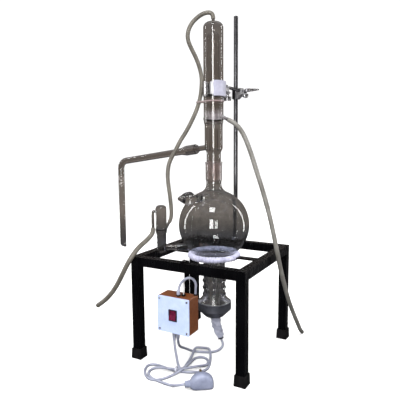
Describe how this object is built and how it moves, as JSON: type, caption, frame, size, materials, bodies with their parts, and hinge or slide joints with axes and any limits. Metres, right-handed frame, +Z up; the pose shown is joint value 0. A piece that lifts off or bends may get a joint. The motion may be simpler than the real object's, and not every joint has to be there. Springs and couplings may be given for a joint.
{
  "type": "all-glass water still",
  "caption": "Tall glass still: round flask in a roped ring on a square-tube stand, water-jacketed condenser, bent delivery tube, level feeder, hoses and switch box.",
  "frame": {"origin": "centre of the bounding box of the apparatus without its hoses and leads, on the floor under the feet", "axes": "+Z up along the glass column, +X to the right seen from the front, where the delivery tube is on the left, and -Y towards the front with the switch box"},
  "size_m": [0.5788, 0.4854, 1.026],
  "materials": {
    "black_paint": "semi-gloss black paint",
    "black_rubber": "matt",
    "box_brown": "satin orange-brown",
    "box_front": "satin pale blue-white",
    "brass": "turned",
    "cast_metal": "cast and tumbled",
    "clear_glass": "clear blown glass",
    "dark_metal": "satin dark grey",
    "earth_green": "sheath",
    "element_steel": "dulled",
    "grey_hose": "matt grey",
    "pale_hose": "matt pale grey",
    "pink_tie": "thin band",
    "plug_grey": "pale blue-grey moulding",
    "polished_steel": "polished",
    "switch_black": "matt",
    "switch_red": "gloss red",
    "white_lead": "white sheath",
    "white_pad": "matt white",
    "white_rope": "wound fibre",
    "white_sleeve": "matt off-white"
  },
  "bodies": {
    "stand": {"back_beam": "black_paint", "beam_end_plates": "black_paint", "boiler_flask": "clear_glass", "box_grommets": "black_rubber", "box_plate": "box_front", "box_screws": "polished_steel", "box_shell": "box_brown", "cable_boot": "white_sleeve", "condenser_jacket": "clear_glass", "condenser_tube": "clear_glass", "crossover_hose": "grey_hose", "drain_hose": "grey_hose", "earth_lead": "earth_green", "flask_ring": "black_paint", "foot_back_left": "black_rubber", "foot_back_right": "black_rubber", "foot_front_left": "black_rubber", "foot_front_right": "black_rubber", "front_beam": "black_paint", "hanger_strap": "black_paint", "heater_base": "element_steel", "heater_cup": "dark_metal", "heater_element": "element_steel", "heater_gasket": "white_rope", "heater_lead": "white_lead", "hose_tie": "pink_tie", "inlet_hose": "pale_hose", "left_beam": "black_paint", "leg_back_left": "black_paint", "leg_back_right": "black_paint", "leg_front_left": "black_paint", "leg_front_right": "black_paint", "level_chamber": "clear_glass", "level_standpipe": "clear_glass", "link_lead": "white_lead", "mains_hank": "white_lead", "mains_lead": "white_lead", "mains_plug": "plug_grey", "plug_pins": "brass", "right_beam": "black_paint", "ring_rope": "white_rope", "rod_nuts": "polished_steel", "still_head": "clear_glass", "strap_bolts": "polished_steel", "switch_body": "switch_black", "terminal_strip": "switch_black", "upright_rod": "polished_steel", "vapour_riser": "clear_glass"},
    "clamp": {"boss_head": "cast_metal", "clamp_arm": "polished_steel", "clamp_fixed_jaw": "polished_steel"},
    "clamp_jaw": {"clamp_moving_jaw": "cast_metal", "jaw_pad": "white_pad"},
    "jaw_nut": {"jaw_wing_nut": "polished_steel"},
    "arm_screw": {"arm_thumbscrew": "polished_steel"},
    "rod_screw": {"rod_thumbscrew": "polished_steel"},
    "delivery": {"delivery_tube": "clear_glass"},
    "stopper": {"flask_stopper": "clear_glass"},
    "switch": {"switch_rocker": "switch_red"}
  },
  "joints": [
    {"name": "boss_slide", "type": "slide", "parent": "stand", "child": "clamp", "axis": [0, 0, 1], "range_m": [-0.008, 0.08]},
    {"name": "jaw_open", "type": "hinge", "parent": "clamp", "child": "clamp_jaw", "pos_m": [0.112, 0.042, 0.78], "axis": [0, 0, 1], "range_deg": [0, 45]},
    {"name": "jaw_nut_turn", "type": "hinge", "parent": "clamp", "child": "jaw_nut", "pos_m": [0.112, 0.042, 0.76], "axis": [0, 0, 1], "continuous": true},
    {"name": "arm_screw_turn", "type": "hinge", "parent": "clamp", "child": "arm_screw", "pos_m": [0.128, 0.1648, 0.794], "axis": [1, 0, 0], "continuous": true},
    {"name": "rod_screw_turn", "type": "hinge", "parent": "clamp", "child": "rod_screw", "pos_m": [0.118, 0.1648, 0.7775], "axis": [1, 0, 0], "continuous": true},
    {"name": "delivery_turn", "type": "hinge", "parent": "stand", "child": "delivery", "pos_m": [0.088, 0, 0.6177], "axis": [-0.9906, 0, -0.1366], "range_deg": [-45, 45]},
    {"name": "stopper_lift", "type": "slide", "parent": "stand", "child": "stopper", "axis": [-0.4302, -0.9013, 0.0512], "range_m": [0, 0.04]},
    {"name": "switch_rock", "type": "hinge", "parent": "stand", "child": "switch", "pos_m": [0.067, -0.2011, 0.166], "axis": [1, 0, 0], "range_deg": [0, 24]}
  ]
}
